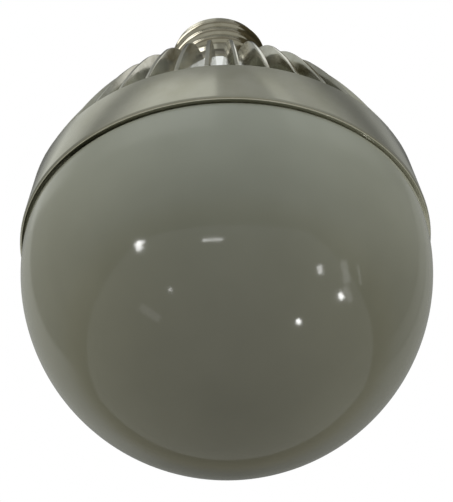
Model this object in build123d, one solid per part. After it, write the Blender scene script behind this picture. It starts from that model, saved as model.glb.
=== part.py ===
"""Globe LED lamp with a finned metal body and an Edison screw cap.

+Z runs along the lamp to its cap and the origin is the tip of the centre contact, so the globe
hangs below. Sizes are in millimetres. A size pair or triple names its order beside it.
"""
import math
import os

from build123d import *

# Overall sizes, from the globe up to the cap
globe_diameter = 95.0
lip_rise = 4.9  # the band's lip above the globe's centre
band_length = 13.15
fin_height = 38.95
collar_length = 8.0
cap_length = 27.0

# Globe cover: its shoulder sits under the band's lip and its neck goes up into the band
cover_wall = 1.5
neck_wall = 1.6
neck_clearance = 0.35
neck_end_gap = 1.0
lip_gap = 0.65
cover_tilt = 0.72
cover_tilt_turn = -60.0  # where the slit is widest, in degrees about Z from -X
sealant_length = 5.0
sealant_clearance = 0.2

# Metal body: a conical band, a deck across its top, a centre tube and radial fins, cast as one
# but kept as two nodes, the turned core and the fins
lip_overhang = 0.96
band_taper = 1.62
band_wall = 1.8
lip_chamfer = 0.4
deck_thickness = 3.5
tube_radius = 17.0
tube_wall = 1.8
fin_count = 44
fin_thickness = 1.0
fin_turn = -3.1  # degrees from -Y, the side with the nearest fin
fin_root = 0.6
fin_land = 0.4  # flat top of a fin where it meets the tube
fin_edge = 0.2
knee_inset = 10.35
knee_drop = 16.1
crest_sagitta = 0.5

# Driver housing: a sleeve in the tube, a collar on its end and a spigot inside the cap
housing_clearance = 0.2
housing_wall = 1.3
housing_floor = 2.5
collar_top_radius = 14.0
spigot_length = 14.0
spigot_wall = 1.3
spigot_clearance = 0.35
groove_depth = 0.5
boss_radius = 3.0
boss_cap = 0.4
boss_offset = 9.5

# Screw cap with the 27 mm Edison thread, whose crests and roots are arcs of one radius
thread_radius = 13.15
thread_pitch = 3.629
thread_round = 1.025
thread_land_radius = 12.12
thread_turns = 3.0
thread_top = 8.8
thread_phase = 47.0
thread_embed = 0.5
sheet = 0.3
skirt_length = 4.5
skirt_radius = 13.0
rim_radius = 10.9
rim_depth = 6.3
rim_slope = 1.0
rim_hole_radius = 9.9

# Insulator and centre contact
insulator_tip_radius = 6.0
insulator_flange = 1.5
contact_radius = 5.0
contact_thickness = 1.3
contact_edge = 0.5
contact_flat_radius = 2.0
stem_radius = 1.6
stem_length = 6.0
stem_bore = 0.8

# Light source under the deck
pad_thickness = 0.3
led_board_radius = 30.0
led_board_thickness = 1.6
lead_hole_radius = 3.5
led_size = (3.0, 5.0, 0.8)  # radial, tangential, height
led_window = 0.25
led_rings = ((11.5, 6), (18.0, 12), (25.5, 18))  # ring radius, packages

# Screws: head sizes are radius, height
screw_radius = 1.5
screw_pass = 0.2
board_screw_circle = 21.8
board_screw_count = 3
board_screw_length = 5.0
pan_head = (2.8, 1.8)
housing_screw_length = 7.0
flat_head = (2.7, 1.3)
recess_span = 2.6
recess_width = 0.6
recess_depth = 0.9

# Driver board, which stands across the sleeve in two grooves
driver_board_thickness = 1.2
driver_board_offset = 3.4
driver_board_gap = 1.0

# Parts on the driver board: boxes are width, length along Z, height; cans are radius, length.
# Places are X and the distance along the board from its deck end, or from its cap end.
output_can = (4.0, 10.5)
output_can_place = (-7.0, 0.3)
input_can = (4.0, 8.5)
input_can_place = (6.0, 9.2)
can_groove = 0.8
resistor_can = (1.3, 6.5)
resistor_place = (0.0, 8.6)
film_size = (5.0, 8.6, 8.5)
film_place = (-6.0, 5.0)
choke_size = (3.4, 6.5)
choke_waist = 2.2
choke_flange = 1.0
choke_place = (7.0, 5.5)
bridge_size = (5.0, 4.6, 1.6)
bridge_place = (7.0, 10.0)
chip_size = (3.9, 4.9, 1.5)
chip_place = (0.0, 13.0)
diode_size = (4.4, 2.6, 2.2)
diode_place = (-6.5, 6.0)
foot_reach = 1.0
foot_width = 0.45
foot_height = 0.25
small_part = (2.0, 1.25, 0.6)
small_part_columns = (-8.5, -5.0, 5.0, 8.5)
small_part_rows = (11.0, 14.0, 17.0)

# Transformer: the core is width, height, thickness
core_size = (13.0, 10.0, 6.0)
core_leg = 3.0
core_yoke = 1.8
bobbin_wall = 0.5
winding_round = 1.2

# Leads
wire_radius = 0.6
wire_bend = 1.8
lead_lap = 3.0
lead_drop = 2.4
output_lead_x = 2.0
output_pad_x = 7.0
input_lead_x = 3.0

# One small clearance between fitted parts
fit_gap = 0.1

# Heights and radii that follow from the sizes above
globe_radius = globe_diameter / 2
collar_z = -cap_length - collar_length
shelf_z = collar_z - fin_height
deck_z = shelf_z - deck_thickness
lip_z = shelf_z - band_length
globe_z = lip_z - lip_rise
lip_radius = globe_radius + lip_overhang
shelf_radius = lip_radius - band_taper
tube_bore = tube_radius - tube_wall
sleeve_radius = tube_bore - housing_clearance
sleeve_bore = sleeve_radius - housing_wall
floor_z = shelf_z + housing_floor
shell_bore = thread_land_radius - sheet
spigot_radius = shell_bore - spigot_clearance
spigot_bore = spigot_radius - spigot_wall
spigot_z = spigot_length - cap_length
led_face_z = deck_z - pad_thickness - led_board_thickness
board_front = driver_board_thickness - driver_board_offset
board_back = -driver_board_offset
board_low_z = floor_z + driver_board_gap
board_high_z = collar_z - driver_board_gap
board_half_width = math.sqrt(sleeve_bore**2 - driver_board_offset**2) + groove_depth
housing_screw_end = deck_z + housing_screw_length + fit_gap


def band_bore(z):
    """Inner radius of the conical band at height z."""
    return lip_radius - band_taper * (z - lip_z) / band_length - band_wall


neck_radius = band_bore(deck_z) - neck_clearance


def turned(*outline):
    """Solid turned about Z from (radius, height) points."""
    face = make_face(Polyline(*[(r, 0, z) for r, z in outline], close=True))
    return revolve(face, Axis.Z)


def cylinder(radius, low, high, x=0, y=0):
    """Upright cylinder between two heights."""
    return extrude(Plane((x, y, low)) * Circle(radius), high - low, dir=(0, 0, 1))


def block(x, y, z):
    """Box between pairs of coordinates."""
    middle = [(low + high) / 2 for low, high in (x, y, z)]
    return Pos(*middle) * Box(*[high - low for low, high in (x, y, z)])


def wire(*points, bend=wire_bend):
    """Round lead along straight runs joined by arcs."""
    path = FilletPolyline(*points, radius=bend)
    return sweep(Plane(origin=path @ 0, z_dir=path % 0) * Circle(wire_radius), path=path)


def around(count, radius, start):
    """Places on a circle about Z, each turned to face outward."""
    return [Rot(0, 0, start + 360 * i / count) * Pos(radius, 0, 0) for i in range(count)]


def globe_cover():
    """Milky globe with its shoulder and neck, cocked a little in its seat."""
    rim_z = lip_z - lip_gap
    step_z = rim_z - neck_wall
    end_z = deck_z - neck_end_gap
    neck_bore = neck_radius - neck_wall
    inner = globe_radius - cover_wall
    rim_edge = math.sqrt(globe_radius**2 - (rim_z - globe_z) ** 2)
    step_radius = math.sqrt(inner**2 - (step_z - globe_z) ** 2)
    diagonal = math.sqrt(0.5)
    outside = ThreePointArc(
        (0, 0, globe_z - globe_radius),
        (globe_radius * diagonal, 0, globe_z - globe_radius * diagonal),
        (rim_edge, 0, rim_z),
    )
    neck = Polyline(
        (rim_edge, 0, rim_z),
        (neck_radius, 0, rim_z),
        (neck_radius, 0, end_z),
        (neck_bore, 0, end_z),
        (neck_bore, 0, step_z),
        (step_radius, 0, step_z),
    )
    inside = ThreePointArc(
        (step_radius, 0, step_z),
        (inner * diagonal, 0, globe_z - inner * diagonal),
        (0, 0, globe_z - inner),
    )
    pole = Line((0, 0, globe_z - inner), (0, 0, globe_z - globe_radius))
    straight = revolve(make_face(Curve() + [outside, neck, inside, pole]), Axis.Z)
    seat = Rot(0, 0, cover_tilt_turn) * Rot(0, -cover_tilt, 0) * Rot(0, 0, -cover_tilt_turn)
    return Pos(0, 0, globe_z) * seat * Pos(0, 0, -globe_z) * straight


def cover_sealant():
    """Silicone bead between the band and the neck."""
    top = deck_z - neck_end_gap
    low = top - sealant_length
    inner = neck_radius + sealant_clearance
    return turned((inner, low), (band_bore(low), low), (band_bore(top), top), (inner, top))


def heat_sink():
    """The casting's core: band, deck and tube, with its holes drilled."""
    body = turned(
        (lead_hole_radius, deck_z),
        (band_bore(deck_z), deck_z),
        (band_bore(lip_z), lip_z),
        (lip_radius - lip_chamfer, lip_z),
        (lip_radius, lip_z + lip_chamfer),
        (shelf_radius, shelf_z),
        (tube_radius, shelf_z),
        (tube_radius, collar_z),
        (tube_bore, collar_z),
        (tube_bore, shelf_z),
        (lead_hole_radius, shelf_z),
    )
    tapped_end = led_face_z + board_screw_length + fit_gap
    holes = [place * cylinder(screw_radius, deck_z, tapped_end) for place in board_screw_places()]
    for x, y in boss_places():
        holes.append(cylinder(screw_radius + screw_pass, deck_z, shelf_z, x, y))
        holes.append(flat_head_cone(x, y, screw_pass))
    return body - holes


def cooling_fins():
    """Radial fins, each standing on the deck and the tube with a bowl-shaped crest."""
    foot = (shelf_radius, shelf_z)
    knee = (shelf_radius - knee_inset, collar_z - knee_drop)
    neck = (tube_radius + fin_land, collar_z)
    lower = SagittaArc(foot, knee, -crest_sagitta)
    upper = TangentArc(knee, neck, tangent=lower % 1)
    root = Polyline(
        neck,
        (tube_radius - fin_root, collar_z),
        (tube_radius - fin_root, shelf_z),
        foot,
    )
    outline = Plane.XZ * make_face(Curve() + [lower, upper, root])
    plate = extrude(outline, fin_thickness / 2, both=True)
    crest = [edge for edge in plate.edges() if edge.geom_type == GeomType.CIRCLE]
    plate = chamfer(crest, fin_edge) - cylinder(tube_radius, shelf_z, collar_z)
    return [Rot(0, 0, fin_turn - 90 + 360 * i / fin_count) * plate for i in range(fin_count)]


def boss_places():
    """Centres of the two bosses in the sleeve."""
    return ((0, boss_offset), (0, -boss_offset))


def board_screw_places():
    """Centres of the screws that hold the LED board."""
    return around(board_screw_count, board_screw_circle, 90)


def flat_head_cone(x, y, extra):
    """Countersunk head, with its face level with the deck's underside."""
    radius, height = flat_head
    top = deck_z + height
    cone = turned((0, deck_z), (radius + extra, deck_z), (screw_radius + extra, top), (0, top))
    return Pos(x, y, 0) * cone


def cross_recess(z):
    """Cross-shaped recess of a screw head, cut upward from z."""
    half, side = recess_span / 2, recess_width / 2
    bar = block((-half, half), (-side, side), (z, z + recess_depth))
    return bar + Rot(0, 0, 90) * bar


def housing_screws():
    """Countersunk screws through the deck into the sleeve's bosses."""
    screws = []
    for x, y in boss_places():
        shank = cylinder(screw_radius - fit_gap, deck_z, deck_z + housing_screw_length, x, y)
        screws.append(flat_head_cone(x, y, 0) + shank - Pos(x, y, 0) * cross_recess(deck_z))
    return screws


def board_screws():
    """Pan-head screws that hold the LED board to the deck."""
    radius, height = pan_head
    low = led_face_z - height
    head = cylinder(radius, low, led_face_z)
    head = fillet(head.edges().sort_by(Axis.Z)[0], height / 3)
    shank = cylinder(screw_radius - fit_gap, led_face_z, led_face_z + board_screw_length)
    screw = head + shank - cross_recess(low)
    return [place * screw for place in board_screw_places()]


def driver_housing():
    """Moulded sleeve with its floor, bosses, board grooves, collar and spigot."""
    housing = turned(
        (lead_hole_radius, shelf_z),
        (sleeve_radius, shelf_z),
        (sleeve_radius, collar_z),
        (tube_radius, collar_z),
        (collar_top_radius, -cap_length),
        (spigot_radius, -cap_length),
        (spigot_radius, spigot_z),
        (spigot_bore, spigot_z),
        (spigot_bore, -cap_length - housing_wall),
        (collar_top_radius - housing_wall, -cap_length - housing_wall),
        (sleeve_bore, collar_z),
        (sleeve_bore, floor_z),
        (lead_hole_radius, floor_z),
    )
    for x, y in boss_places():
        housing = housing + cylinder(boss_radius, shelf_z, housing_screw_end + boss_cap, x, y)
        housing = housing - cylinder(screw_radius, shelf_z, housing_screw_end, x, y)
    reach = board_half_width + fit_gap
    thickness = (board_back - fit_gap, board_front + fit_gap)
    return housing - block((-reach, reach), thickness, (board_low_z, board_high_z))


def board_cuts():
    """The lead hole and the screw holes through LED board and pad."""
    holes = [cylinder(lead_hole_radius, led_face_z, deck_z)]
    for place in board_screw_places():
        holes.append(place * cylinder(screw_radius + screw_pass, led_face_z, deck_z))
    return holes


def led_board():
    """Aluminium-core board disc."""
    return cylinder(led_board_radius, led_face_z, deck_z - pad_thickness) - board_cuts()


def thermal_pad():
    """Soft pad between the LED board and the deck."""
    return cylinder(led_board_radius, deck_z - pad_thickness, deck_z) - board_cuts()


def led_packages():
    """White LED packages in rings, each with a shallow round window."""
    width, length, height = led_size
    low = led_face_z - height
    body = block((-width / 2, width / 2), (-length / 2, length / 2), (low, led_face_z))
    package = body - cylinder(width / 2 - led_window, low, low + led_window)
    packages = []
    for radius, count in led_rings:
        packages += [place * package for place in around(count, radius, 90 + 180 / count)]
    return packages


def thread_ridge(wall, trim):
    """Helical ridge of the thread, set in by a wall and shortened at both ends."""
    half = thread_pitch / 2
    spread = math.sqrt((2 * thread_round) ** 2 - half**2)
    crest_centre = thread_radius - thread_round
    root_centre = crest_centre + spread
    crest = thread_round - wall
    root = thread_round + wall
    land = thread_land_radius - wall
    foot = half - math.sqrt(root**2 - (root_centre - land) ** 2)
    turn = math.atan2(half, spread)
    lean = (turn + math.atan2(half - foot, root_centre - land)) / 2
    joint_r, joint_z = crest_centre + crest * math.cos(turn), crest * math.sin(turn)
    flank_r, flank_z = root_centre - root * math.cos(lean), half - root * math.sin(lean)
    core = land - thread_embed
    outline = Curve() + [
        ThreePointArc((joint_r, -joint_z), (crest_centre + crest, 0), (joint_r, joint_z)),
        ThreePointArc((joint_r, joint_z), (flank_r, flank_z), (land, foot)),
        Polyline((land, foot), (core, foot), (core, -foot), (land, -foot)),
        ThreePointArc((land, -foot), (flank_r, -flank_z), (joint_r, -joint_z)),
    ]
    section = Plane(origin=(0, 0, 0), x_dir=(1, 0, 0), z_dir=(0, -1, 0)) * make_face(outline)
    rise = thread_turns * thread_pitch
    path = Helix(thread_pitch, rise - 2 * trim, thread_radius)
    ridge = sweep(section, path=path, is_frenet=True)
    lead_in = thread_phase + 360 * trim / thread_pitch
    return Pos(0, 0, trim - thread_top - rise) * Rot(0, 0, lead_in) * ridge


def shell_core(wall, open_z):
    """The shell without its thread, set in by a wall."""
    skirt_z = skirt_length - cap_length
    slope = skirt_radius - thread_land_radius
    return turned(
        (0, open_z),
        (skirt_radius - wall, open_z),
        (skirt_radius - wall, skirt_z),
        (thread_land_radius - wall, skirt_z + slope),
        (thread_land_radius - wall, -rim_depth - rim_slope),
        (rim_radius - wall / 2, -rim_depth - wall),
        (0, -rim_depth - wall),
    )


def cap_shell():
    """Rolled screw shell in thin sheet: skirt, thread and turned-in rim."""
    outside = shell_core(0, -cap_length) + thread_ridge(0, 0)
    inside = shell_core(sheet, -cap_length - sheet) + thread_ridge(sheet, sheet)
    return outside - inside - cylinder(rim_hole_radius, -rim_depth - 2 * sheet, 0)


def cap_insulator():
    """Black glass cone with a flange under the shell's rim."""
    flange_z = -rim_depth - sheet
    hole = stem_radius + fit_gap
    return turned(
        (hole, flange_z - insulator_flange),
        (rim_radius - sheet, flange_z - insulator_flange),
        (rim_radius - sheet, flange_z),
        (rim_hole_radius - fit_gap, flange_z),
        (rim_hole_radius - fit_gap, -rim_depth),
        (insulator_tip_radius, -contact_thickness),
        (hole, -contact_thickness),
    )


def centre_contact():
    """Brass contact with a flat tip and a hollow stem for the live lead."""
    edge_z = contact_edge - contact_thickness
    dome = ThreePointArc(
        (contact_flat_radius, 0, 0),
        ((contact_flat_radius + contact_radius) / 2, 0, edge_z / 3),
        (contact_radius, 0, edge_z),
    )
    under = Polyline(
        (contact_radius, 0, edge_z),
        (contact_radius, 0, -contact_thickness),
        (stem_radius, 0, -contact_thickness),
        (stem_radius, 0, -stem_length),
        (stem_bore, 0, -stem_length),
        (stem_bore, 0, -contact_thickness),
        (0, 0, -contact_thickness),
        (0, 0, 0),
        (contact_flat_radius, 0, 0),
    )
    return revolve(make_face(Curve() + [dome, under]), Axis.Z)


def driver_board():
    """Board that carries the driver's parts."""
    across = (-board_half_width, board_half_width)
    return block(across, (board_back, board_front), (board_low_z, board_high_z))


def on_front(size, x, z):
    """Box that stands on the front of the driver board, with its middle at x and z."""
    width, length, height = size
    y = (board_front, board_front + height)
    return block((x - width / 2, x + width / 2), y, (z - length / 2, z + length / 2))


def on_back(size, x, z):
    """Box that stands on the back of the driver board."""
    width, length, height = size
    y = (board_back - height, board_back)
    return block((x - width / 2, x + width / 2), y, (z - length / 2, z + length / 2))


def lying_can(can, x, low):
    """Round body that lies along the front of the driver board."""
    radius, length = can
    return cylinder(radius, low, low + length, x, board_front + radius)


def electrolytic(can, x, low):
    """Capacitor can with the rolled groove near its sealed end."""
    radius, _ = can
    groove = lying_can((radius, can_groove), x, low + can_groove)
    core = cylinder(radius - can_groove / 2, low, low + 3 * can_groove, x, board_front + radius)
    return lying_can(can, x, low) - (groove - core)


def output_capacitor():
    """Smoothing capacitor of the output side."""
    x, along = output_can_place
    return electrolytic(output_can, x, board_low_z + along)


def input_capacitor():
    """Smoothing capacitor of the mains side."""
    x, along = input_can_place
    return electrolytic(input_can, x, board_high_z - along)


def fuse_resistor():
    """Round fusible resistor between the mains-side parts."""
    x, along = resistor_place
    return lying_can(resistor_can, x, board_high_z - along)


def film_capacitor():
    """Box-shaped interference capacitor."""
    x, along = film_place
    return on_front(film_size, x, board_high_z - along)


def input_choke():
    """Drum-shaped choke that stands on the driver board."""
    radius, height = choke_size
    x, along = choke_place
    drum = turned(
        (0, 0),
        (radius, 0),
        (radius, choke_flange),
        (choke_waist, choke_flange),
        (choke_waist, height - choke_flange),
        (radius, height - choke_flange),
        (radius, height),
        (0, height),
    )
    return Pos(x, board_front, board_low_z + along) * Rot(-90, 0, 0) * drum


def footed(size, x, z, feet):
    """Moulded body on the back of the board, with a row of feet on each side."""
    width, length, _ = size
    body = on_back(size, x, z)
    foot = (width + 2 * foot_reach, foot_width, foot_height)
    for i in range(feet):
        body = body + on_back(foot, x, z + length * ((i + 0.5) / feet - 0.5))
    return body


def bridge_rectifier():
    """Bridge rectifier of the mains side."""
    x, along = bridge_place
    return footed(bridge_size, x, board_high_z - along, 2)


def driver_chip():
    """Control chip with four feet on each side."""
    x, along = chip_place
    return footed(chip_size, x, board_low_z + along, 4)


def output_diode():
    """Rectifier diode of the output side."""
    x, along = diode_place
    return footed(diode_size, x, board_low_z + along, 1)


def chip_components():
    """Small resistors and capacitors in rows beside the chip."""
    return [on_back(small_part, x, board_low_z + z) for z in small_part_rows for x in small_part_columns]


def transformer_middle():
    """Height of the transformer's middle."""
    return (board_low_z + board_high_z) / 2 + fit_gap


def winding_window(clearance):
    """Room around the core's centre leg: X and Y ranges of one window, and half the thickness."""
    width, height, thickness = core_size
    x = (core_leg / 2 + clearance, width / 2 - core_leg / 2 - clearance)
    y = (board_front + core_yoke + clearance, board_front + height - core_yoke - clearance)
    return x, y, thickness / 2 + clearance


def transformer_core():
    """Ferrite core: a frame with a centre leg, upright on the board."""
    width, height, thickness = core_size
    (near, far), y, half = winding_window(0)
    z = (transformer_middle() - half, transformer_middle() + half)
    frame = on_front((width, thickness, height), 0, transformer_middle())
    return frame - block((near, far), y, z) - block((-far, -near), y, z)


def ring_block(near, far, y, half):
    """Square ring about the core's centre leg, from the inner to the outer distance."""
    middle = transformer_middle()
    reach = half + far - near
    outer = block((-far, far), y, (middle - reach, middle + reach))
    return outer - block((-near, near), y, (middle - half, middle + half))


def transformer_bobbin():
    """Square tube on the centre leg with a flange at each end."""
    (near, far), (low, high), half = winding_window(fit_gap)
    tube = ring_block(near, near + bobbin_wall, (low, high), half)
    first = ring_block(near, far, (low, low + bobbin_wall), half)
    return tube + first + Pos(0, high - low - bobbin_wall, 0) * first


def transformer_winding():
    """Taped winding between the bobbin's flanges."""
    (near, far), (low, high), half = winding_window(fit_gap)
    y = (low + bobbin_wall, high - bobbin_wall)
    winding = ring_block(near + bobbin_wall, far - bobbin_wall, y, half + bobbin_wall)
    corners = winding.edges().filter_by(Axis.Y).sort_by_distance((0, y[0], transformer_middle()))
    return fillet(corners[-4:], winding_round)


def output_lead(side):
    """Lead from the driver board down through the deck, bent back up to a pad on the LED board."""
    y = board_front + wire_radius
    x = side * output_lead_x
    low = led_face_z - lead_drop
    return wire(
        (x, y, board_low_z + lead_lap),
        (x, y, low),
        (side * output_pad_x, y, low),
        (side * output_pad_x, y, led_face_z),
        bend=lead_drop / 2,
    )


def live_lead():
    """Lead from the driver board into the stem of the centre contact."""
    y = board_back - wire_radius
    return wire(
        (input_lead_x, y, board_high_z - lead_lap),
        (input_lead_x, y, -cap_length),
        (0, 0, spigot_z),
        (0, 0, -contact_thickness - fit_gap),
    )


def neutral_lead():
    """Lead from the driver board over the spigot's end to the screw shell."""
    y = board_back - wire_radius
    high = spigot_z + 2 * wire_radius
    reach = math.sqrt((shell_bore - fit_gap) ** 2 - (wire_radius - y) ** 2)
    return wire(
        (-input_lead_x, y, board_high_z - lead_lap),
        (-input_lead_x, y, high),
        (-reach, y, high),
    )


def pieces():
    """Every node of the lamp: one solid, or a list of equal ones."""
    return {
        "globe_cover": globe_cover(),
        "cover_sealant": cover_sealant(),
        "heat_sink": heat_sink(),
        "cooling_fins": cooling_fins(),
        "thermal_pad": thermal_pad(),
        "led_board": led_board(),
        "led_packages": led_packages(),
        "board_screws": board_screws(),
        "housing_screws": housing_screws(),
        "driver_housing": driver_housing(),
        "driver_board": driver_board(),
        "transformer_core": transformer_core(),
        "transformer_bobbin": transformer_bobbin(),
        "transformer_winding": transformer_winding(),
        "input_capacitor": input_capacitor(),
        "output_capacitor": output_capacitor(),
        "film_capacitor": film_capacitor(),
        "fuse_resistor": fuse_resistor(),
        "input_choke": input_choke(),
        "bridge_rectifier": bridge_rectifier(),
        "driver_chip": driver_chip(),
        "output_diode": output_diode(),
        "chip_components": chip_components(),
        "output_lead_positive": output_lead(1),
        "output_lead_negative": output_lead(-1),
        "live_lead": live_lead(),
        "neutral_lead": neutral_lead(),
        "cap_shell": cap_shell(),
        "cap_insulator": cap_insulator(),
        "centre_contact": centre_contact(),
    }


os.makedirs("parts", exist_ok=True)
for name, shape in pieces().items():
    if isinstance(shape, list):
        shape = Compound(children=shape)
    export_step(shape, f"parts/{name}.step")
    print(name)
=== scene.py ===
import math
import bmesh
import bpy
from mathutils import Matrix, Vector


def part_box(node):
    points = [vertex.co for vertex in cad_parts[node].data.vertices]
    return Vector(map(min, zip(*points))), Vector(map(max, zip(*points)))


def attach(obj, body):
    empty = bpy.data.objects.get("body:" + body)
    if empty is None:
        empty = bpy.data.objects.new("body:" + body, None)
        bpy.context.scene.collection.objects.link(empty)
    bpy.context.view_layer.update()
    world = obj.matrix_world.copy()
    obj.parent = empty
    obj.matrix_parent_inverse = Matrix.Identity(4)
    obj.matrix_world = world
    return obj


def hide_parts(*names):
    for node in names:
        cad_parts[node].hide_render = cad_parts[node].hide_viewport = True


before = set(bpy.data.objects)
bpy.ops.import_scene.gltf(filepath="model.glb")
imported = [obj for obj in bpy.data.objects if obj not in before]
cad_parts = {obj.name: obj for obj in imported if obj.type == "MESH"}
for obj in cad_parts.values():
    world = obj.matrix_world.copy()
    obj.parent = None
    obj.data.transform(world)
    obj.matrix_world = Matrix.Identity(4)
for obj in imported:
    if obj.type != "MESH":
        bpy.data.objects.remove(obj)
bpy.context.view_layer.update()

scene = bpy.context.scene
mm = 0.001  # everything below is written in millimetres and turned to metres here
weld = 0.001 * mm  # vertices nearer than this are merged
same = 0.01  # heights that differ by less, in millimetres, count as one


# heights that every piece shares, read from the frame
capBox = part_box("cap_shell")
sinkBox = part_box("heat_sink")
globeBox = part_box("globe_cover")
lipZ = sinkBox[0].z / mm  # the band's edge next to the globe
collarZ = sinkBox[1].z / mm  # where the fins and the tube end, towards the cap
globeRadius = 47.5
globeZ = globeBox[0].z / mm + globeRadius
skirtZ = capBox[0].z / mm  # open end of the screw shell


# turns an sRGB hex colour to linear
def linear(hexColour):
    channels = [int(hexColour[i:i + 2], 16) / 255 for i in (1, 3, 5)]
    return [c / 12.92 if c <= 0.04045 else ((c + 0.055) / 1.055) ** 2.4 for c in channels] + [1.0]


# adds a node with its settings, its input values and its links
def addNode(tree, kind, settings=None, values=None, links=None):
    node = tree.nodes.new(kind)
    for key, value in (settings or {}).items():
        setattr(node, key, value)
    for key, value in (values or {}).items():
        node.inputs[key].default_value = value
    for key, socket in (links or {}).items():
        tree.links.new(socket, node.inputs[key])
    return node


finishes = {
    # milky polycarbonate, moulded and glossy: a soft body under a clear skin, hazed by handling
    # its two tones are a mid olive grey, darker than milky white: painted shade over the whole globe
    "opalPolycarbonatePaintedShade": {
        "tones": ("#787a6d", "#7f8174"), "roughness": (0.05, 0.11), "cloudsMm": 30.0, "hazeMm": 9.0,
        "wavesMm": 26.0, "wavesDepth": 0.05, "grainMm": 0.8, "grainDepth": 0.0006,
        "constants": {"IOR": 1.58, "Subsurface Weight": 0.1, "Subsurface Radius": (1.0, 1.0, 0.8),
                      "Subsurface Scale": 0.0015}},
    # cast aluminium after the lathe: a bright band that smears light across its fine rings
    "turnedAluminium": {
        "tones": ("#bab9aa", "#c4c3b7"), "roughness": (0.1, 0.17), "cloudsMm": 8.0, "hazeMm": 6.0,
        "wavesMm": 18.0, "wavesDepth": 0.05, "grainMm": 0.5, "grainDepth": 0.001,
        "constants": {"Metallic": 1.0, "Anisotropic": 0.7, "Anisotropic Rotation": 0.25}},
    # the same casting where no tool reached, polished in a tumbler: mirror-like with small dull spots
    "polishedAluminium": {
        "tones": ("#b4b3a6", "#c2c2b8"), "roughness": (0.1, 0.24), "cloudsMm": 5.0, "hazeMm": 4.0,
        "wavesMm": 9.0, "wavesDepth": 0.07, "grainMm": 0.6, "grainDepth": 0.002,
        "constants": {"Metallic": 1.0}},
    # nickel plate on rolled brass sheet: a warm mirror, a little dull where the rolls pressed it
    "nickelPlate": {
        "tones": ("#a39f90", "#b4b1a4"), "roughness": (0.08, 0.22), "cloudsMm": 4.0, "hazeMm": 3.0,
        "wavesMm": 5.0, "wavesDepth": 0.03, "grainMm": 0.4, "grainDepth": 0.001,
        "constants": {"Metallic": 1.0}},
    # black vitrite, a pressed opaque glass: deep gloss with shallow chill marks
    "blackVitrite": {
        "tones": ("#101014", "#232228"), "roughness": (0.05, 0.2), "cloudsMm": 1.8, "hazeMm": 1.5,
        "wavesMm": 2.5, "wavesDepth": 0.05, "grainMm": 0.5, "grainDepth": 0.003,
        "constants": {"IOR": 1.52}},
    # brass blank, tinned in the middle: warm metal round a grey, lumpy pool of solder
    "tinnedBrass": {
        "tones": ("#c0a060", "#cbaa69"), "roughness": (0.16, 0.36), "cloudsMm": 1.5, "hazeMm": 1.2,
        "wavesMm": 2.0, "wavesDepth": 0.06, "grainMm": 0.3, "grainDepth": 0.002,
        "constants": {"Metallic": 1.0}},
    # white PBT, injection moulded on a spark-eroded tool: satin, with an even fine pebble
    "mouldedPbt": {
        "tones": ("#cfcec6", "#d8d7cf"), "roughness": (0.42, 0.58), "cloudsMm": 12.0, "hazeMm": 2.0,
        "wavesMm": 9.0, "wavesDepth": 0.04, "grainMm": 0.35, "grainDepth": 0.02,
        "constants": {"IOR": 1.55}},
    # unsized card on the floor: matt, soft and even
    "mattPaper": {
        "tones": ("#dededa", "#e4e4e0"), "roughness": (0.8, 0.9), "cloudsMm": 60.0, "hazeMm": 20.0,
        "wavesMm": 40.0, "wavesDepth": 0.2, "grainMm": 2.0, "grainDepth": 0.05, "constants": {}},
    # pressed wool on the card beside the cap: dark and without shine
    "woolFelt": {
        "tones": ("#57523f", "#625c49"), "roughness": (0.8, 0.9), "cloudsMm": 20.0, "hazeMm": 8.0,
        "wavesMm": 10.0, "wavesDepth": 0.1, "grainMm": 1.0, "grainDepth": 0.1, "constants": {}},
}


# what every finish has: two tones in cloudsMm blots, gloss that changes over hazeMm, and a skin whose
# slow waves (wavesMm long, wavesDepth deep) and fine grain (grainMm, grainDepth) the bump shows;
# noise seldom leaves the middle of its range, so the middle is stretched over all of it
def makeFinish(name, finish=None):
    finish = finish or finishes[name]
    material = bpy.data.materials.new(name)
    material.use_nodes = True
    tree = material.node_tree
    shader = tree.nodes["Principled BSDF"]
    for socket, value in finish["constants"].items():
        shader.inputs[socket].default_value = value
    place = addNode(tree, "ShaderNodeTexCoord").outputs["Object"]
    clouds = addNode(tree, "ShaderNodeTexNoise", None,
                     {"Scale": 1 / (finish["cloudsMm"] * mm), "Detail": 3.0}, {"Vector": place})
    share = addNode(tree, "ShaderNodeMapRange", None, {"From Min": 0.35, "From Max": 0.65},
                    {"Value": clouds.outputs["Fac"]})
    tone = addNode(tree, "ShaderNodeMix", {"data_type": "RGBA"},
                   {6: linear(finish["tones"][0]), 7: linear(finish["tones"][1])}, {0: share.outputs[0]})
    tree.links.new(tone.outputs[2], shader.inputs["Base Color"])
    haze = addNode(tree, "ShaderNodeTexNoise", None,
                   {"Scale": 1 / (finish["hazeMm"] * mm), "Detail": 5.0, "Roughness": 0.6},
                   {"Vector": place})
    smooth, dull = finish["roughness"]
    gloss = addNode(tree, "ShaderNodeMapRange", None,
                    {"From Min": 0.3, "From Max": 0.7, "To Min": smooth, "To Max": dull},
                    {"Value": haze.outputs["Fac"]})
    tree.links.new(gloss.outputs[0], shader.inputs["Roughness"])
    waves = addNode(tree, "ShaderNodeTexNoise", None,
                    {"Scale": 1 / (finish["wavesMm"] * mm), "Detail": 1.0}, {"Vector": place})
    grain = addNode(tree, "ShaderNodeTexNoise", None,
                    {"Scale": 1 / (finish["grainMm"] * mm), "Detail": 2.0}, {"Vector": place})
    wavy = addNode(tree, "ShaderNodeBump", None, {"Distance": finish["wavesDepth"] * mm},
                   {"Height": waves.outputs["Fac"]})
    skin = addNode(tree, "ShaderNodeBump", None, {"Distance": finish["grainDepth"] * mm},
                   {"Height": grain.outputs["Fac"], "Normal": wavy.outputs[0]})
    tree.links.new(skin.outputs[0], shader.inputs["Normal"])
    return {"material": material, "tree": tree, "shader": shader, "place": place, "tone": tone, "skin": skin}


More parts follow.
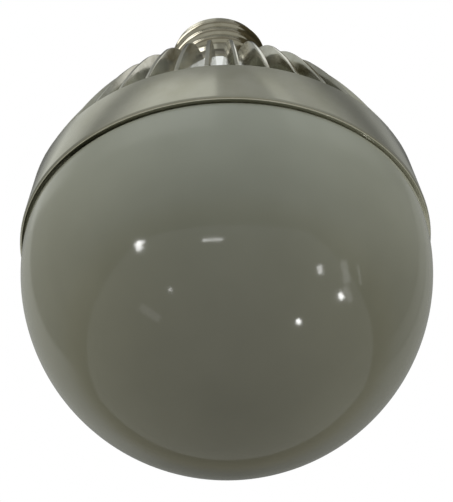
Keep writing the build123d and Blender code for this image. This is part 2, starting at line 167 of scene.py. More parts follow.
# lathe rings run round the lamp, so light stretches along it; spacingMm is about four times that of
# real ones, so that they show
latheRings = {"spacingMm": 0.4, "depth": 0.003, "strength": 0.6}


def makeTurnedAluminium():
    made = makeFinish("turnedAluminium")
    tree = made["tree"]
    split = addNode(tree, "ShaderNodeSeparateXYZ", None, None, {0: made["place"]})
    rings = addNode(tree, "ShaderNodeTexNoise", {"noise_dimensions": "1D"},
                    {"Scale": 1 / (latheRings["spacingMm"] * mm), "Detail": 4.0}, {"W": split.outputs["Z"]})
    ringed = addNode(tree, "ShaderNodeBump", None,
                     {"Distance": latheRings["depth"] * mm, "Strength": latheRings["strength"]},
                     {"Height": rings.outputs["Fac"], "Normal": made["skin"].outputs[0]})
    tree.links.new(ringed.outputs[0], made["shader"].inputs["Normal"])
    along = addNode(tree, "ShaderNodeTangent", {"direction_type": "RADIAL", "axis": "Z"})
    tree.links.new(along.outputs[0], made["shader"].inputs["Tangent"])
    return made["material"]


# the pool of solder covers the contact's middle; its edge wanders by raggedMm
solderPool = {"colour": "#b6b6b0", "blotMm": 1.6, "raggedMm": 1.4, "edgeMm": (3.2, 3.5)}


def makeTinnedBrass():
    s = solderPool
    made = makeFinish("tinnedBrass")
    tree = made["tree"]
    across = addNode(tree, "ShaderNodeVectorMath", {"operation": "MULTIPLY"}, {1: (1.0, 1.0, 0.0)},
                     {0: made["place"]})
    reach = addNode(tree, "ShaderNodeVectorMath", {"operation": "LENGTH"}, None, {0: across.outputs[0]})
    blots = addNode(tree, "ShaderNodeTexNoise", None, {"Scale": 1 / (s["blotMm"] * mm), "Detail": 3.0},
                    {"Vector": made["place"]})
    edge = addNode(tree, "ShaderNodeMath", {"operation": "MULTIPLY_ADD"}, {1: s["raggedMm"] * mm},
                   {0: blots.outputs["Fac"], 2: reach.outputs["Value"]})
    pool = addNode(tree, "ShaderNodeMapRange", None,
                   {"From Min": s["edgeMm"][0] * mm, "From Max": s["edgeMm"][1] * mm},
                   {"Value": edge.outputs[0]})
    metal = addNode(tree, "ShaderNodeMix", {"data_type": "RGBA"}, {6: linear(s["colour"])},
                    {0: pool.outputs[0], 7: made["tone"].outputs[2]})
    tree.links.new(metal.outputs[2], made["shader"].inputs["Base Color"])
    return made["material"]


# the plate is rubbed thin on the crests of the thread, where a little brass shows
crestWear = {"brass": "#b39a6c", "rubMm": 2.5, "radiusMm": (12.9, 13.2), "share": 0.3}


def makeNickelPlate():
    w = crestWear
    made = makeFinish("nickelPlate")
    tree = made["tree"]
    across = addNode(tree, "ShaderNodeVectorMath", {"operation": "MULTIPLY"}, {1: (1.0, 1.0, 0.0)},
                     {0: made["place"]})
    reach = addNode(tree, "ShaderNodeVectorMath", {"operation": "LENGTH"}, None, {0: across.outputs[0]})
    rub = addNode(tree, "ShaderNodeTexNoise", None, {"Scale": 1 / (w["rubMm"] * mm), "Detail": 4.0},
                  {"Vector": made["place"]})
    crest = addNode(tree, "ShaderNodeMapRange", None,
                    {"From Min": w["radiusMm"][0] * mm, "From Max": w["radiusMm"][1] * mm,
                     "To Max": w["share"]}, {"Value": reach.outputs["Value"]})
    worn = addNode(tree, "ShaderNodeMath", {"operation": "MULTIPLY"}, None,
                   {0: rub.outputs["Fac"], 1: crest.outputs[0]})
    metal = addNode(tree, "ShaderNodeMix", {"data_type": "RGBA"}, {7: linear(w["brass"])},
                    {0: worn.outputs[0], 6: made["tone"].outputs[2]})
    tree.links.new(metal.outputs[2], made["shader"].inputs["Base Color"])
    return made["material"]


# makes an object of a bmesh, with its materials
def makeObject(name, bm, materials):
    mesh = bpy.data.meshes.new(name)
    bm.to_mesh(mesh)
    bm.free()
    for material in materials:
        mesh.materials.append(material)
    made = bpy.data.objects.new(name, mesh)
    scene.collection.objects.link(made)
    return made


# makes a piece that rides on the lamp and stands for CAD nodes; edges over sharpAngle stay crisp
def finishPiece(name, bm, materials, replaced, sharpAngle=30.0):
    for face in bm.faces:
        face.smooth = True
    for edge in bm.edges:
        edge.smooth = edge.calc_face_angle(0.0) < math.radians(sharpAngle)
    piece = makeObject(name, bm, materials)
    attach(piece, "root")
    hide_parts(*replaced)
    print(name, len(piece.data.polygons), "faces")
    return piece


# points of an arc in the (radius, height) plane, angles in degrees from +radius
def arc(centre, radius, first, last, steps):
    angles = [math.radians(first + (last - first) * i / steps) for i in range(steps + 1)]
    return [(centre[0] + radius * math.cos(a), centre[1] + radius * math.sin(a)) for a in angles]


# turns an outline of (radius, height) points about Z, closed on itself or on the axis
def turnOutline(bm, outline, segments, closed=True):
    verts = [bm.verts.new((r * mm, 0, z * mm)) for r, z in outline]
    edges = [bm.edges.new(pair) for pair in zip(verts, verts[1:])]
    if closed:
        edges.append(bm.edges.new((verts[-1], verts[0])))
    bmesh.ops.spin(bm, geom=verts + edges, cent=(0, 0, 0), axis=(0, 0, 1), dvec=(0, 0, 0),
                   angle=math.tau, steps=segments, use_merge=True, use_duplicate=False)
    bmesh.ops.remove_doubles(bm, verts=bm.verts, dist=weld)
    bmesh.ops.recalc_face_normals(bm, faces=bm.faces)


# rounds a list of edges
def roundEdges(bm, edges, widthMm, segments):
    bmesh.ops.bevel(bm, geom=edges, offset=widthMm * mm, offset_type="OFFSET", affect="EDGES",
                    segments=segments, profile=0.5, material=-1, clamp_overlap=True)


# rounds the ring edges of a turned solid that are sharper than an angle
def roundRings(bm, widthMm, angle=35.0, segments=3):
    sharp = [e for e in bm.edges if e.calc_face_angle(0.0) > math.radians(angle)]
    roundEdges(bm, sharp, widthMm, segments)


# the milky globe with its shoulder and its neck, cocked a little in its seat
globeCover = {"wall": 1.5, "lipGap": 0.65, "neckRadius": 45.12, "neckWall": 1.6, "neckTop": 8.65,
              "tilt": 0.72, "tiltTurn": -60.0, "shoulderRound": 0.3, "segments": 192, "arcSteps": 72}


def makeGlobeCover(material):
    g = globeCover
    rimZ = lipZ - g["lipGap"]
    neckZ = lipZ + g["neckTop"]
    neckBore = g["neckRadius"] - g["neckWall"]
    inner = globeRadius - g["wall"]
    outerEnd = math.degrees(math.asin((rimZ - globeZ) / globeRadius))
    stepZ = rimZ - g["neckWall"]
    innerEnd = math.degrees(math.asin((stepZ - globeZ) / inner))
    outline = arc((0, globeZ), globeRadius, -90, outerEnd, g["arcSteps"])
    outline += [(g["neckRadius"], rimZ), (g["neckRadius"], neckZ), (neckBore, neckZ), (neckBore, stepZ)]
    outline += arc((0, globeZ), inner, innerEnd, -90, g["arcSteps"])
    bm = bmesh.new()
    turnOutline(bm, outline, g["segments"], closed=False)
    roundRings(bm, g["shoulderRound"])
    aside = Matrix.Rotation(math.radians(g["tiltTurn"]), 3, "Z")
    seat = aside @ Matrix.Rotation(math.radians(-g["tilt"]), 3, "Y") @ aside.inverted()
    bmesh.ops.rotate(bm, verts=bm.verts, cent=(0, 0, globeZ * mm), matrix=seat)
    return finishPiece("globeCover", bm, [material], ["globe_cover"])


# the casting: conical band with a rounded lip, deck and centre tube
heatSink = {"lipRadius": 48.46, "shelfRadius": 46.84, "bandLength": 13.15, "bandWall": 1.8, "bandRound": 0.15,
            "deck": 3.5, "leadHole": 3.5, "tubeRadius": 17.0, "tubeWall": 1.8, "segments": 176,
            "lipRound": 1.1, "lipTurn": -48.0, "lipSteps": 6,
            "lipBevel": 0.9, "bevelTurn": 197.0, "bevelPower": 6,  # a higher power makes it narrower
            "turnedFrom": 40.0}  # the lathe worked beyond this radius
# the fins on it: two bulged crests that meet at a knee
fins = {"count": 44, "thickness": 1.0, "edgeRound": 0.2, "edgeSegments": 2, "kneeInset": 10.35,
        "kneeDrop": 16.1, "sagitta": 0.5, "root": 0.6, "land": 0.4, "arcSteps": 18, "turn": -93.1,
        "crestFrom": 0.5}  # how far from the tube the turned crest begins


def bandAndTube(bm):
    h = heatSink
    shelfZ = lipZ + h["bandLength"]
    deckZ = shelfZ - h["deck"]
    tubeBore = h["tubeRadius"] - h["tubeWall"]
    taper = (h["lipRadius"] - h["shelfRadius"]) / h["bandLength"]
    deckBore = h["lipRadius"] - taper * (deckZ - lipZ) - h["bandWall"]
    lean = math.atan(taper)
    sink = h["lipRound"] * math.sin(math.radians(-h["lipTurn"]))
    lipInset = (h["lipRound"] + sink * math.sin(lean)) / math.cos(lean)
    lipCentre = (h["lipRadius"] - lipInset, lipZ + sink)
    outline = [(h["leadHole"], deckZ), (deckBore, deckZ)]
    outline += [(h["lipRadius"] - h["bandWall"], lipZ + h["lipBevel"])]
    outline += arc(lipCentre, h["lipRound"], h["lipTurn"], math.degrees(lean), h["lipSteps"])
    outline += [(h["shelfRadius"], shelfZ), (h["tubeRadius"], shelfZ), (h["tubeRadius"], collarZ)]
    outline += [(tubeBore, collarZ), (tubeBore, shelfZ), (h["leadHole"], shelfZ)]
    turnOutline(bm, outline, h["segments"])
    for v in bm.verts:  # the bevel inside the lip is off-centre: deepest on the left, none on the right
        atBevel = abs(v.co.z / mm - lipZ - h["lipBevel"]) < same
        if atBevel and math.hypot(v.co.x, v.co.y) > deckBore * mm:
            aside = math.atan2(v.co.y, v.co.x) - math.radians(h["bevelTurn"])
            share = max(math.cos(aside), 0.0) ** h["bevelPower"]
            v.co.z = (lipZ + h["lipBevel"] * share) * mm
    roundRings(bm, h["bandRound"])


# points of the arc that runs from start to end and bulges outward by a sagitta
def bulgedArc(start, end, sagitta, steps):
    chord = Vector((end[0] - start[0], end[1] - start[1]))
    outward = Vector((chord.y, -chord.x)).normalized()
    radius = (chord.length ** 2 / 4 + sagitta ** 2) / (2 * sagitta)
    middle = (Vector(start) + Vector(end)) / 2
    centre = middle - outward * (radius - sagitta)
    first = math.atan2(start[1] - centre.y, start[0] - centre.x)
    last = math.atan2(end[1] - centre.y, end[0] - centre.x)
    return arc((centre.x, centre.y), radius, math.degrees(first), math.degrees(last), steps)


# the upper crest leaves the knee in the direction in which the lower one arrives
def finOutline():
    h, f = heatSink, fins
    shelfZ = lipZ + h["bandLength"]
    foot = (h["shelfRadius"], shelfZ)
    knee = (h["shelfRadius"] - f["kneeInset"], collarZ - f["kneeDrop"])
    neck = (h["tubeRadius"] + f["land"], collarZ)
    lower = bulgedArc(foot, knee, f["sagitta"], f["arcSteps"])
    lowerChord = Vector(knee) - Vector(foot)
    halfTurn = 2 * math.atan(2 * f["sagitta"] / lowerChord.length)
    kneeAngle = math.atan2(lowerChord.y, lowerChord.x) + halfTurn
    upperChord = Vector(neck) - Vector(knee)
    swing = math.atan2(upperChord.y, upperChord.x) - kneeAngle
    upper = bulgedArc(knee, neck, upperChord.length / 2 * math.tan(swing / 2), f["arcSteps"])
    tubeSide, rootZ = h["tubeRadius"] - f["root"], shelfZ - f["root"]  # fins reach into band and tube
    inside = [(tubeSide, collarZ), (tubeSide, rootZ), (foot[0] - f["root"], rootZ)]
    return lower + upper[1:] + inside


def finRing(bm):
    f = fins
    fin = bmesh.new()
    outline = [fin.verts.new((r * mm, -f["thickness"] / 2 * mm, z * mm)) for r, z in finOutline()]
    face = fin.faces.new(outline)
    wall = bmesh.ops.extrude_face_region(fin, geom=[face])["geom"]
    farSide = [v for v in wall if isinstance(v, bmesh.types.BMVert)]
    bmesh.ops.translate(fin, verts=farSide, vec=(0, f["thickness"] * mm, 0))
    bmesh.ops.recalc_face_normals(fin, faces=fin.faces)
    sides = [e for e in fin.edges if abs(e.verts[0].co.y - e.verts[1].co.y) < same * mm]
    roundEdges(fin, sides, f["edgeRound"], f["edgeSegments"])
    crestRadius = heatSink["tubeRadius"] + f["crestFrom"]
    for face in fin.faces:  # the crest was turned together with the band, the sides were not
        onCrest = abs(face.normal.y) < 0.9 and face.calc_center_median().x > crestRadius * mm
        face.material_index = 0 if onCrest else 1
    mesh = bpy.data.meshes.new("fin")
    fin.to_mesh(mesh)
    fin.free()
    for i in range(f["count"]):
        turn = Matrix.Rotation(math.radians(f["turn"] + 360 * i / f["count"]), 4, "Z")
        mesh.transform(turn)
        bm.from_mesh(mesh)
        mesh.transform(turn.inverted())
    bpy.data.meshes.remove(mesh)


def makeHeatSink(turnedMaterial, polishedMaterial):
    bm = bmesh.new()
    bandAndTube(bm)
    bandTop = lipZ + heatSink["bandLength"] + 0.1  # a little over the shelf, to take in its rounded edge
    for face in bm.faces:
        middle = face.calc_center_median()
        onRim = math.hypot(middle.x, middle.y) > heatSink["turnedFrom"] * mm
        face.material_index = 0 if onRim and middle.z < bandTop * mm else 1
    finRing(bm)
    materials = [turnedMaterial, polishedMaterial]
    return finishPiece("heatSinkCasting", bm, materials, ["heat_sink", "cooling_fins"])


# the rolled screw shell: a turned sheet whose wall follows the helical thread, with a rim bent over
# the glass; rimBend is how far the bend's two points lie out, down and in from the rim's corner
screwShell = {"threadRadius": 13.15, "pitch": 3.629, "round": 1.025, "land": 12.12, "turns": 3.0, "top": 8.8,
              "phase": 47.0, "fade": 70.0, "skirt": 4.5, "skirtRadius": 13.0, "rimRadius": 10.9,
              "rimDepth": 6.3, "rimSlope": 1.0, "rimHole": 9.9, "rimBend": (0.25, 0.2, 0.1), "sheet": 0.3,
              "segments": 180, "rowStep": 0.16, "threadMargin": 0.5, "wallFrom": 12.0, "crispAngle": 50.0}


# how far the thread stands over the land, at an axial distance from its crest
def ridgeHeight(distance):
    s = screwShell
    half = s["pitch"] / 2
    crestCentre = s["threadRadius"] - s["round"]
    spreadR = math.sqrt((2 * s["round"]) ** 2 - half ** 2)
    joint = half / 2  # where the crest's arc meets the root's
    d = abs(distance)
    if d >= half:
        return 0.0
    if d <= joint:
        radius = crestCentre + math.sqrt(s["round"] ** 2 - d ** 2)
    else:
        radius = crestCentre + spreadR - math.sqrt(s["round"] ** 2 - (half - d) ** 2)
    return max(radius - s["land"], 0.0)


# the same anywhere on the shell's wall; the thread fades in and out over some degrees at its ends
def threadAt(angle, z):
    s = screwShell
    rise = s["turns"] * s["pitch"]
    bottom = -s["top"] - rise
    turnHere = (math.degrees(angle) - s["phase"]) % 360 / 360
    height = 0.0
    for whole in range(-1, int(s["turns"]) + 2):
        along = (whole + turnHere) * s["pitch"]
        crest = bottom + along
        ends = min(along, rise - along) / s["pitch"] * 360 / s["fade"] + 1
        height = max(height, ridgeHeight(z - crest) * min(max(ends, 0.0), 1.0))
    return height


def makeScrewShell(material):
    s = screwShell
    rimZ = -s["rimDepth"]
    skirtTop = skirtZ + s["skirt"]
    lowThread = skirtTop + s["skirtRadius"] - s["land"]
    threadTop = rimZ - s["rimSlope"]
    rows = int((threadTop - lowThread) / s["rowStep"])
    bendOut, bendDown, bendIn = s["rimBend"]
    outline = [(s["skirtRadius"] - s["sheet"], skirtZ), (s["skirtRadius"], skirtZ)]
    outline += [(s["skirtRadius"], skirtTop)]
    outline += [(s["land"], lowThread + (threadTop - lowThread) * i / rows) for i in range(rows + 1)]
    outline += [(s["rimRadius"] + bendOut, rimZ - bendDown), (s["rimRadius"] - bendIn, rimZ)]
    outline += [(s["rimHole"], rimZ), (s["rimHole"], rimZ - s["sheet"])]
    bm = bmesh.new()
    turnOutline(bm, outline, s["segments"], closed=False)
    for v in bm.verts:
        z = v.co.z / mm
        inThread = lowThread - s["threadMargin"] < z < threadTop + s["threadMargin"]
        if inThread and math.hypot(v.co.x, v.co.y) > s["wallFrom"] * mm:
            flat = Vector((v.co.x, v.co.y, 0))
            grown = flat * (1 + threadAt(math.atan2(v.co.y, v.co.x), z) * mm / flat.length)
            v.co.x, v.co.y = grown.x, grown.y
    middles = [(face, face.calc_center_median()) for face in bm.faces]
    if sum(face.normal.dot(Vector((middle.x, middle.y, 0))) for face, middle in middles) < 0:
        bmesh.ops.reverse_faces(bm, faces=bm.faces)  # an open sheet may come out facing inwards
    return finishPiece("screwShell", bm, [material], ["cap_shell"], s["crispAngle"])


# the black glass cone and the contact that is riveted through it
capEnd = {"tipRadius": 6.0, "flangeRadius": 10.6, "flange": 1.5, "coneRadius": 9.8, "glassRound": 0.35,
          "roundOver": 25.0, "contactRadius": 5.0, "contact": 1.3, "edge": 0.8, "flatRadius": 2.0,
          "domeSteps": 10, "contactRound": 0.15, "stemRadius": 1.6, "stemGap": 0.1, "stem": 6.0,
          "segments": 96}


def makeInsulator(material):
    c = capEnd
    rimZ = -screwShell["rimDepth"]
    top = rimZ - screwShell["sheet"]
    bore = c["stemRadius"] + c["stemGap"]
    outline = [(bore, top - c["flange"]), (c["flangeRadius"], top - c["flange"]), (c["flangeRadius"], top),
               (c["coneRadius"], top), (c["coneRadius"], rimZ), (c["tipRadius"], -c["contact"]),
               (bore, -c["contact"])]
    bm = bmesh.new()
    turnOutline(bm, outline, c["segments"])
    roundRings(bm, c["glassRound"], c["roundOver"])
    return finishPiece("glassInsulator", bm, [material], ["cap_insulator"])


# a flat in the middle that falls off in a shallow dome
def makeContact(material):
    c = capEnd
    domeWidth = c["contactRadius"] - c["flatRadius"]
    shares = [i / c["domeSteps"] for i in range(c["domeSteps"] + 1)]
    outline = [(0, 0)] + [(c["flatRadius"] + domeWidth * share, -c["edge"] * share ** 2) for share in shares]
    outline += [(c["contactRadius"], -c["contact"]), (c["stemRadius"], -c["contact"])]
    outline += [(c["stemRadius"], -c["stem"]), (0, -c["stem"])]
    bm = bmesh.new()
    turnOutline(bm, outline, c["segments"], closed=False)
    roundRings(bm, c["contactRound"])
    return finishPiece("contactRivet", bm, [material], ["centre_contact"])


# the moulded collar between fins and cap, with the sleeve below and the spigot above
collar = {"ledge": 17.0, "topRadius": 14.0, "sleeveRadius": 15.0, "sleeveBore": 13.7, "spigotRadius": 11.47,
          "spigotBore": 10.17, "spigotTop": -13.0, "wall": 1.3, "floor": 2.5, "round": 0.35, "segments": 128}


def makeCollar(material):
    c = collar
    lowZ = lipZ + heatSink["bandLength"]
    floorZ = lowZ + c["floor"]
    roofZ = skirtZ - c["wall"]
    outline = [(heatSink["leadHole"], lowZ), (c["sleeveRadius"], lowZ), (c["sleeveRadius"], collarZ),
               (c["ledge"], collarZ), (c["topRadius"], skirtZ), (c["spigotRadius"], skirtZ),
               (c["spigotRadius"], c["spigotTop"]), (c["spigotBore"], c["spigotTop"]),
               (c["spigotBore"], roofZ), (c["topRadius"] - c["wall"], roofZ), (c["sleeveBore"], collarZ),
               (c["sleeveBore"], floorZ), (heatSink["leadHole"], floorZ)]
    bm = bmesh.new()
    turnOutline(bm, outline, c["segments"])
    roundRings(bm, c["round"])
    return finishPiece("driverCollar", bm, [material], ["driver_housing"])


# pieces inside keep their CAD shape: material, two tones, mean roughness, size of the speckle in
# millimetres, and 1 for a metal
innerFinishes = {
    "cover_sealant": ("curedSilicone", "#6d6c62", "#7a796f", 0.45, 1.5, 0.0),  # rubbery, dusty
    "thermal_pad": ("siliconePad", "#8b9099", "#9aa0a8", 0.7, 0.8, 0.0),  # putty with ceramic grains
    "led_board": ("whiteSolderMask", "#d9d9d3", "#cfd0c9", 0.4, 0.6, 0.0),  # printed ink, pinholes
    "led_packages": ("phosphorResin", "#e8d36a", "#f0df86", 0.3, 0.4, 0.0),  # powder under clear gel
    "board_screws": ("zincPlatedSteel", "#b4b5b0", "#a5a6a1", 0.3, 0.5, 1.0),  # bright, drum marks
    "housing_screws": ("zincPlatedSteel", "#b4b5b0", "#a5a6a1", 0.3, 0.5, 1.0),
    "driver_board": ("greenSolderMask", "#1c5a36", "#17492c", 0.35, 0.7, 0.0),  # gloss over weave
    "transformer_core": ("sinteredFerrite", "#2c2c2f", "#39393c", 0.6, 0.3, 0.0),  # pressed, matt
    "transformer_bobbin": ("phenolicBobbin", "#17171a", "#202024", 0.5, 0.5, 0.0),  # moulded, dull
    "transformer_winding": ("polyesterTape", "#d8b52c", "#e2c24a", 0.25, 2.5, 0.0),  # clear film
    "input_capacitor": ("shrunkSleeve", "#16231f", "#1e2e29", 0.3, 2.0, 0.0),  # tight, soft gloss
    "output_capacitor": ("shrunkSleeve", "#16231f", "#1e2e29", 0.3, 2.0, 0.0),
    "film_capacitor": ("epoxyFilledBox", "#bf9d24", "#c9a938", 0.4, 0.6, 0.0),  # moulded, satin
    "fuse_resistor": ("flameproofCoat", "#5c7a6c", "#6a8779", 0.6, 0.4, 0.0),  # baked, chalky
    "input_choke": ("ferriteSleeve", "#141414", "#1d1d1d", 0.35, 1.2, 0.0),  # shrunk over the coil
    "bridge_rectifier": ("mouldedEpoxy", "#1a1a1c", "#222225", 0.55, 0.3, 0.0),  # filled, fine pits
    "driver_chip": ("mouldedEpoxy", "#1a1a1c", "#222225", 0.55, 0.3, 0.0),
    "output_diode": ("mouldedEpoxy", "#1a1a1c", "#222225", 0.55, 0.3, 0.0),
    "chip_components": ("firedCeramic", "#a58a63", "#8f7752", 0.5, 0.4, 0.0),  # tan, faint glaze
    "output_lead_positive": ("redInsulation", "#a3231d", "#b02e27", 0.4, 0.8, 0.0),  # extruded PVC
    "output_lead_negative": ("blackInsulation", "#1b1b1b", "#242424", 0.4, 0.8, 0.0),
    "live_lead": ("brownInsulation", "#5a3a22", "#664329", 0.4, 0.8, 0.0),
    "neutral_lead": ("blueInsulation", "#27478a", "#2f5196", 0.4, 0.8, 0.0),
}
# the rest of such a finish: shares of its mean roughness and of its speckle, and depths in millimetres
innerSkin = {"roughness": (0.8, 1.2), "haze": 1.5, "waves": 4, "grain": 0.6, "wavesDepth": 0.02,
             "grainDepth": 0.01}


def dressInnerNodes():
    made = {}
    for node, (name, first, second, roughness, speckle, metallic) in innerFinishes.items():
        if name not in made:
            made[name] = makeFinish(name, {
                "tones": (first, second), "cloudsMm": speckle, "hazeMm": speckle * innerSkin["haze"],
                "roughness": [roughness * share for share in innerSkin["roughness"]],
                "wavesMm": speckle * innerSkin["waves"], "wavesDepth": innerSkin["wavesDepth"],
                "grainMm": speckle * innerSkin["grain"], "grainDepth": innerSkin["grainDepth"],
                "constants": {"Metallic": metallic}})["material"]
        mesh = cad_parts[node].data
        mesh.materials.clear()
        mesh.materials.append(made[name])
    print("inner nodes dressed:", len(innerFinishes))


# camera fitted to the outlines of globe, band, fins and cap: where the globe's centre lies before it
camera = {"lens": 83.76, "sensor": 36.0, "pitch": 46.37, "roll": 2.338, "globeRight": 0.081,
          "globeUp": -5.242, "globeAhead": 273.02, "imageWidth": 453, "imageHeight": 502}


def cameraAxes():
    pitch, roll = math.radians(camera["pitch"]), math.radians(camera["roll"])
    right = Vector((math.cos(roll), math.sin(roll) * math.cos(pitch), -math.sin(roll) * math.sin(pitch)))
    up = Vector((math.sin(roll), -math.cos(roll) * math.cos(pitch), math.cos(roll) * math.sin(pitch)))
    ahead = Vector((0, math.sin(pitch), math.cos(pitch)))
    return right, up, ahead


def cameraPlace():
    right, up, ahead = cameraAxes()
    offset = right * camera["globeRight"] + up * camera["globeUp"] + ahead * camera["globeAhead"]
    return Vector((0, 0, globeZ * mm)) - offset * mm


def placeCamera():
    right, up, ahead = cameraAxes()
    data = bpy.data.cameras.new("camera")
    data.lens = camera["lens"]
    data.sensor_width = camera["sensor"]
    data.clip_start = 0.01
    holder = bpy.data.objects.new("camera", data)
    scene.collection.objects.link(holder)
    turn = Matrix((right, up, -ahead)).transposed()
    holder.matrix_world = Matrix.Translation(cameraPlace()) @ turn.to_4x4()
    scene.camera = holder


# the plain room that metal and globe mirror, a soft fill for everything else, and the white backdrop;
# heights are sines of the angle above the horizon, and each pair is where one tone turns to the next
studio = {"wallTint": "#f4f6f0", "groundTint": "#d8d2ba",
          "groundLevel": 0.12, "horizonLevel": 0.48, "zenithLevel": 0.35,
          "groundHeights": (-0.05, -0.8), "wallFoot": (-0.2, 0.1), "wallEdge": 0.67, "wallBlend": 0.04,
          "roofHeights": (0.93, 0.99),
          "fillLow": 0.2, "fillHigh": 0.74, "fillColour": "#fffef6",
          "backdropAngle": 7.0, "backdropBlend": 0.002}  # a cone behind the lamp that stays white
# how bright the walls are all round, in degrees from -Y towards +X, up to wallEdge and above it
lowWalls = ((-180, 0.22), (-168, 0.27), (-158, 0.42), (-126, 0.58), (-124, 0.3), (-80, 0.32), (-40, 0.42),
            (40, 0.4), (80, 0.28), (117, 0.3), (119, 0.2), (121, 0.38), (130, 0.4), (131, 0.28),
            (133, 0.44), (158, 0.34), (168, 0.27), (180, 0.22))
highWalls = ((-180, 0.15), (-165, 0.12), (-150, 0.32), (-138, 0.48), (-131, 0.8), (-122, 0.72),
             (-105, 0.65), (-96, 0.48), (-86, 0.34), (-74, 0.4), (-66, 0.55), (-56, 0.7), (-50, 0.76),
             (-44, 0.8), (-4, 0.76), (0, 0.46), (35, 0.42), (38, 0.62), (48, 0.62), (54, 0.49),
             (72, 0.52), (84, 0.4), (96, 0.3), (108, 0.22), (119, 0.24), (130, 0.4), (148, 0.36),
             (160, 0.14), (180, 0.15))


# a tint of the room at a brightness
def dimmed(hexColour, level):
    return [c * level for c in linear(hexColour)[:3]] + [1.0]


def makeWorld():
    s = studio
    world = bpy.data.worlds.new("studio")
    scene.world = world
    world.use_nodes = True
    tree = world.node_tree
    tree.nodes.clear()
    direction = addNode(tree, "ShaderNodeTexCoord").outputs["Generated"]
    split = addNode(tree, "ShaderNodeSeparateXYZ", None, None, {0: direction})
    height = {"Value": split.outputs["Z"]}
    front = addNode(tree, "ShaderNodeMath", {"operation": "MULTIPLY"}, {1: -1.0}, {0: split.outputs["Y"]})
    turn = addNode(tree, "ShaderNodeMath", {"operation": "ARCTAN2"}, None,
                   {0: split.outputs["X"], 1: front.outputs[0]})
    around = addNode(tree, "ShaderNodeMapRange", None, {"From Min": -math.pi, "From Max": math.pi},
                     {"Value": turn.outputs[0]})
    walls = []
    for stops in (lowWalls, highWalls):
        ramp = addNode(tree, "ShaderNodeValToRGB", None, None, {0: around.outputs[0]})
        elements = ramp.color_ramp.elements
        while len(elements) < len(stops):
            elements.new(0.5)
        for i, (degrees, _) in enumerate(stops):  # all places come first, because a ramp sorts its stops
            elements[i].position = degrees / 360 + 0.5
        for i, (_, level) in enumerate(stops):
            elements[i].color = dimmed(s["wallTint"], level)
        walls.append(ramp.outputs["Color"])
    storey = addNode(tree, "ShaderNodeMapRange", {"interpolation_type": "SMOOTHSTEP"},
                     {"From Min": s["wallEdge"] - s["wallBlend"], "From Max": s["wallEdge"] + s["wallBlend"]},
                     height)
    wall = addNode(tree, "ShaderNodeMix", {"data_type": "RGBA"}, None,
                   {0: storey.outputs[0], 6: walls[0], 7: walls[1]})
    high = addNode(tree, "ShaderNodeMapRange", {"interpolation_type": "SMOOTHSTEP"},
                   {"From Min": s["roofHeights"][0], "From Max": s["roofHeights"][1]}, height)
    roof = addNode(tree, "ShaderNodeMix", {"data_type": "RGBA"}, {7: dimmed(s["wallTint"], s["zenithLevel"])},
                   {0: high.outputs[0], 6: wall.outputs[2]})
    deep = addNode(tree, "ShaderNodeMapRange", None,
                   {"From Min": s["groundHeights"][0], "From Max": s["groundHeights"][1]}, height)
    ground = addNode(tree, "ShaderNodeMix", {"data_type": "RGBA"},
                     {6: dimmed(s["groundTint"], s["horizonLevel"]),
                      7: dimmed(s["groundTint"], s["groundLevel"])},
                     {0: deep.outputs[0]})
    low = addNode(tree, "ShaderNodeMapRange", {"interpolation_type": "SMOOTHSTEP"},
                  {"From Min": s["wallFoot"][0], "From Max": s["wallFoot"][1]}, height)
    room = addNode(tree, "ShaderNodeMix", {"data_type": "RGBA"}, None,
                   {0: low.outputs[0], 6: ground.outputs[2], 7: roof.outputs[2]})
    ahead = cameraAxes()[2]
    facing = addNode(tree, "ShaderNodeVectorMath", {"operation": "DOT_PRODUCT"}, {1: ahead}, {0: direction})
    edge = math.cos(math.radians(s["backdropAngle"]))
    behind = addNode(tree, "ShaderNodeMapRange", None,
                     {"From Min": edge - s["backdropBlend"], "From Max": edge + s["backdropBlend"]},
                     {"Value": facing.outputs["Value"]})
    mirrored = addNode(tree, "ShaderNodeMix", {"data_type": "RGBA"}, {7: (1, 1, 1, 1)},
                       {0: behind.outputs[0], 6: room.outputs[2]})
    path = addNode(tree, "ShaderNodeLightPath")
    shiny = addNode(tree, "ShaderNodeMath", {"operation": "MAXIMUM"}, None,
                    {0: path.outputs["Is Glossy Ray"], 1: path.outputs["Is Transmission Ray"]})
    rise = addNode(tree, "ShaderNodeMapRange", None,
                   {"From Min": -1.0, "From Max": 1.0, "To Min": s["fillLow"], "To Max": s["fillHigh"]},
                   height)
    fill = addNode(tree, "ShaderNodeBackground", None, {"Color": linear(s["fillColour"])},
                   {"Strength": rise.outputs[0]})
    mirror = addNode(tree, "ShaderNodeBackground", None, {"Strength": 1.0}, {"Color": mirrored.outputs[2]})
    seen = addNode(tree, "ShaderNodeBackground", None, {"Color": (1, 1, 1, 1), "Strength": 1.0})
    other = addNode(tree, "ShaderNodeMixShader", None, None,
                    {0: shiny.outputs[0], 1: fill.outputs[0], 2: mirror.outputs[0]})
    whole = addNode(tree, "ShaderNodeMixShader", None, None,
                    {0: path.outputs["Is Camera Ray"], 1: other.outputs[0], 2: seen.outputs[0]})
    addNode(tree, "ShaderNodeOutputWorld", None, None, {"Surface": whole.outputs[0]})


# pale floor, in metres; scattered light sees it in the bounce colour, so that it throws little light up
floorSheet = {"height": -1.5, "size": 9.0, "bounce": "#9c988e"}


